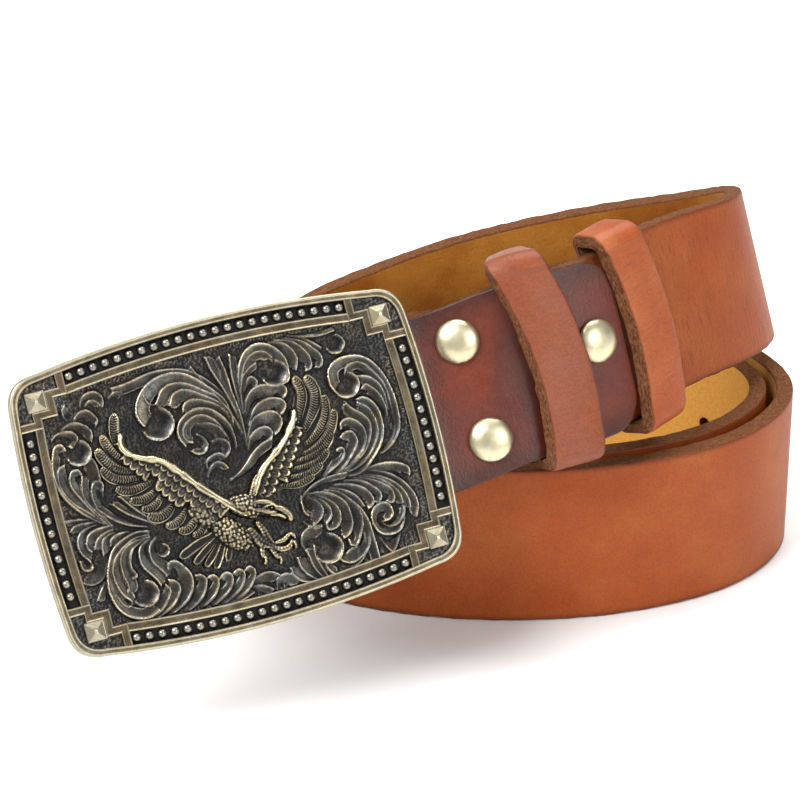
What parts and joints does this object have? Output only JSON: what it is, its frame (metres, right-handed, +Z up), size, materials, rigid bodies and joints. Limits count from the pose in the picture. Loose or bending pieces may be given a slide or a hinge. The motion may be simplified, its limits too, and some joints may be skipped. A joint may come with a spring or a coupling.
{
  "type": "western belt",
  "caption": "Coiled leather western belt with a cast rectangular plate buckle in raised eagle and scroll relief, a riveted tab and leather keeper loops.",
  "frame": {"origin": "under the middle of the whole belt's bounding box, on the surface that the coil stands on", "axes": "+Z up, square to the surface; +Y away from the viewer, from the buckle side to the back of the coil; +X to the viewer's right, along the belt's longest extent"},
  "size_m": [0.1678, 0.1408, 0.0877],
  "materials": {
    "strap_leather": "satin",
    "tab_leather": "satin",
    "keeper_front_leather": "satin",
    "keeper_rear_leather": "satin",
    "rivet_brass": "polished",
    "antique_brass": "satin"
  },
  "bodies": {
    "root": {"strap": "strap_leather", "buckle_tab": "tab_leather", "keeper_front": "keeper_front_leather", "keeper_rear": "keeper_rear_leather", "rivet_upper": "rivet_brass", "rivet_lower": "rivet_brass", "rivet_rear": "rivet_brass", "buckle": "antique_brass"}
  },
  "joints": []
}
